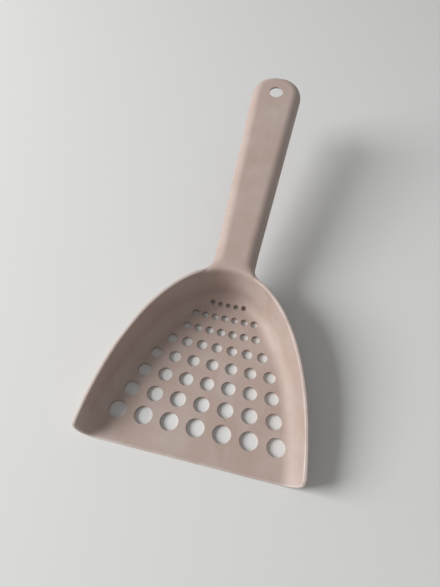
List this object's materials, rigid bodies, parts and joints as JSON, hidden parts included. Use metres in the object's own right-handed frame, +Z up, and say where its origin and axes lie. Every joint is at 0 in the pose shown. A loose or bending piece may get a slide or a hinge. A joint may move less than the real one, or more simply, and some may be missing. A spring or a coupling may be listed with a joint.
{
  "type": "sifting scoop",
  "caption": "Shallow flared pan with a pierced sifting floor and a raised channel handle with a hang hole.",
  "frame": {"origin": "centre of the bounding box at its bottom, on the surface that the pan's floor rests on", "axes": "+Y from the lip along the pan to the handle's end, +X across the pan, to the right when looking from the lip towards the handle, +Z up"},
  "size_m": [0.1422, 0.2976, 0.0691],
  "materials": {
    "moulded_plastic": "fine matte moulded surface, pinkish beige with sparse dark flecks"
  },
  "bodies": {
    "root": {"front_lip": "moulded_plastic", "sifting_floor": "moulded_plastic", "left_wall": "moulded_plastic", "right_wall": "moulded_plastic", "back_wall": "moulded_plastic", "handle_neck": "moulded_plastic", "handle_grip": "moulded_plastic", "handle_end": "moulded_plastic", "grip_ribs": "moulded_plastic"}
  },
  "joints": []
}
